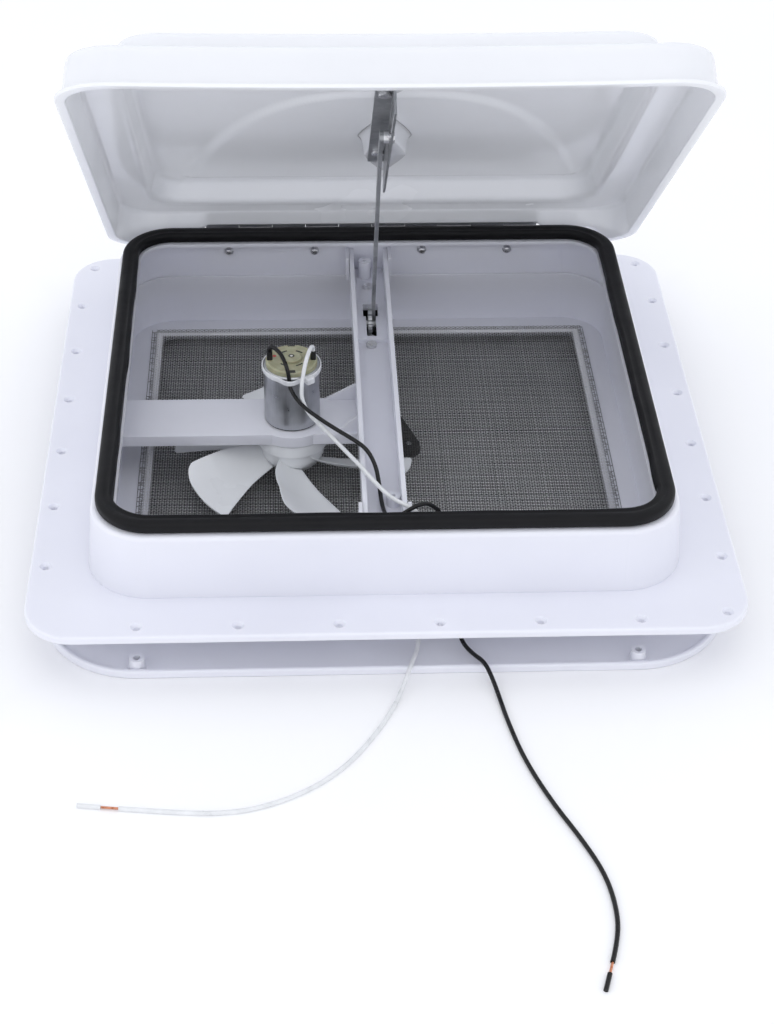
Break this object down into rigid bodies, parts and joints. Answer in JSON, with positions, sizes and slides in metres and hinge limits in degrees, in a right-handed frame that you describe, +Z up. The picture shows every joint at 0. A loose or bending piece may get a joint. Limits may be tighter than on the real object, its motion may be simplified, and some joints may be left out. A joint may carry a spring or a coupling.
{
  "type": "caravan roof vent",
  "caption": "Square moulded roof vent with a lift-up lid on a worm-driven arm, a fan on a bridge, an insect screen and a trim frame.",
  "frame": {"origin": "centre of the trim frame's four screw holes, on the plane of its underside", "axes": "+Z up through the roof, -Y towards the front edge where the leads come out, +X to the right seen from the front"},
  "size_m": [0.45, 0.6961, 0.3574],
  "materials": {
    "shell_white": "satin",
    "lid_white": "satin",
    "gasket_black": "matte",
    "hinge_steel": "satin",
    "screw_steel": "satin",
    "housing_black": "matte",
    "motor_steel": "satin",
    "bush_brass": "satin",
    "cap_nylon": "matte",
    "sleeve_black": "matte",
    "tie_nylon": "satin",
    "screen_grey": "matte",
    "lead_black": "satin",
    "lead_white": "satin",
    "core_copper": "polished",
    "galvanised": "satin",
    "fan_white": "satin"
  },
  "bodies": {
    "base_body": {"roof_base": "shell_white", "lid_gasket": "gasket_black", "hinge_base_leaf": "hinge_steel", "hinge_screws": "screw_steel", "bridge": "shell_white", "operator_housing": "housing_black", "operator_screws": "screw_steel", "gear_axle": "screw_steel", "motor_can": "motor_steel", "motor_bush": "bush_brass", "motor_end_cap": "cap_nylon", "motor_terminals": "bush_brass", "terminal_sleeves": "sleeve_black", "motor_screws": "screw_steel", "cable_tie": "tie_nylon", "garnish": "shell_white", "insect_screen": "screen_grey", "crank_bush": "housing_black", "black_lead": "lead_black", "black_lead_core": "core_copper", "black_lead_slug": "lead_black", "white_lead": "lead_white", "white_lead_core": "core_copper", "white_lead_slug": "lead_white"},
    "lid_body": {"lid": "lid_white", "hinge_lid_leaf": "hinge_steel", "hinge_pin": "screw_steel", "lid_bracket": "galvanised", "bracket_screws": "screw_steel", "hinge_rivets": "screw_steel"},
    "arm_body": {"lift_arm": "galvanised", "sector_gear": "galvanised", "slider_pin": "screw_steel"},
    "crank_body": {"worm_shaft": "screw_steel", "crank_handle": "housing_black", "knob_pin": "screw_steel"},
    "knob_body": {"crank_knob": "housing_black"},
    "fan_body": {"fan": "fan_white", "motor_shaft": "screw_steel"}
  },
  "joints": [
    {"name": "lid_hinge", "type": "hinge", "parent": "base_body", "child": "lid_body", "pos_m": [0.003, 0.193, 0.088], "axis": [-1, 0, 0], "range_deg": [-43.6, 4.4]},
    {"name": "arm_pivot", "type": "hinge", "parent": "base_body", "child": "arm_body", "pos_m": [0, 0.112, 0.049], "axis": [-1, 0, 0], "range_deg": [-56, 6]},
    {"name": "crank_turn", "type": "hinge", "parent": "base_body", "child": "crank_body", "pos_m": [-0.0012, 0.0885, 0.03], "axis": [0, 0, 1], "range_deg": [-1330, 136]},
    {"name": "knob_spin", "type": "hinge", "parent": "crank_body", "child": "knob_body", "pos_m": [0.02396, 0.01785, 0.003], "axis": [0, 0, 1], "continuous": true},
    {"name": "fan_spin", "type": "hinge", "parent": "base_body", "child": "fan_body", "pos_m": [-0.0585, -0.007, 0.03], "axis": [0, 0, 1], "continuous": true}
  ],
  "couplings": [
    {"joint": "arm_pivot", "follows": "lid_hinge", "ratio": 1.265},
    {"joint": "crank_turn", "follows": "lid_hinge", "ratio": 30.36}
  ]
}
